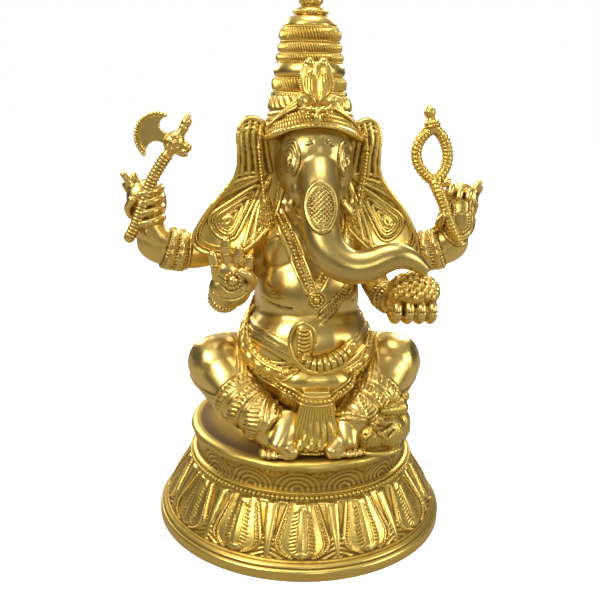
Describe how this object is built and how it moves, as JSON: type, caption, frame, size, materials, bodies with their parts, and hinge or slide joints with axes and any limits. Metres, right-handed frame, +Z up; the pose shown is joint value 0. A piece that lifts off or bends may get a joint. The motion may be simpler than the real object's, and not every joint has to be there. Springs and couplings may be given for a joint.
{
  "type": "hindu deity statue",
  "caption": "Cast brass figure of a seated elephant-headed deity with a tall crown, holding an axe, a noose and sweets, on a round lotus pedestal with a mouse.",
  "frame": {"origin": "middle of the foot rim's resting plane", "axes": "+Z up, the figure faces -Y, +X is the deity's left"},
  "size_m": [0.208, 0.174, 0.305],
  "materials": {
    "cast_brass": "polished high spots over darker recesses",
    "turned_brass": "polished",
    "zinc_steel": "dull zinc plate"
  },
  "bodies": {
    "root": {"arm_dowels": "zinc_steel", "axe": "cast_brass", "belly_serpent": "cast_brass", "clamp_bar": "zinc_steel", "crown_band": "turned_brass", "crown_crest": "cast_brass", "crown_dowel": "zinc_steel", "crown_finial": "turned_brass", "crown_tiers": "turned_brass", "front_pleats": "cast_brass", "head": "cast_brass", "left_back_arm": "cast_brass", "left_ear": "cast_brass", "left_front_arm": "cast_brass", "left_leg": "cast_brass", "left_tusk": "cast_brass", "lotus_pedestal": "cast_brass", "mouse": "cast_brass", "neck_dowel": "zinc_steel", "necklace": "cast_brass", "noose": "cast_brass", "right_back_arm": "cast_brass", "right_ear": "cast_brass", "right_front_arm": "cast_brass", "right_leg": "cast_brass", "right_tusk": "cast_brass", "seat": "cast_brass", "sweets": "cast_brass", "tie_nut": "zinc_steel", "tie_stud": "zinc_steel", "tie_washer": "zinc_steel", "torso": "cast_brass", "trunk": "cast_brass", "waist_belt": "cast_brass"}
  },
  "joints": []
}
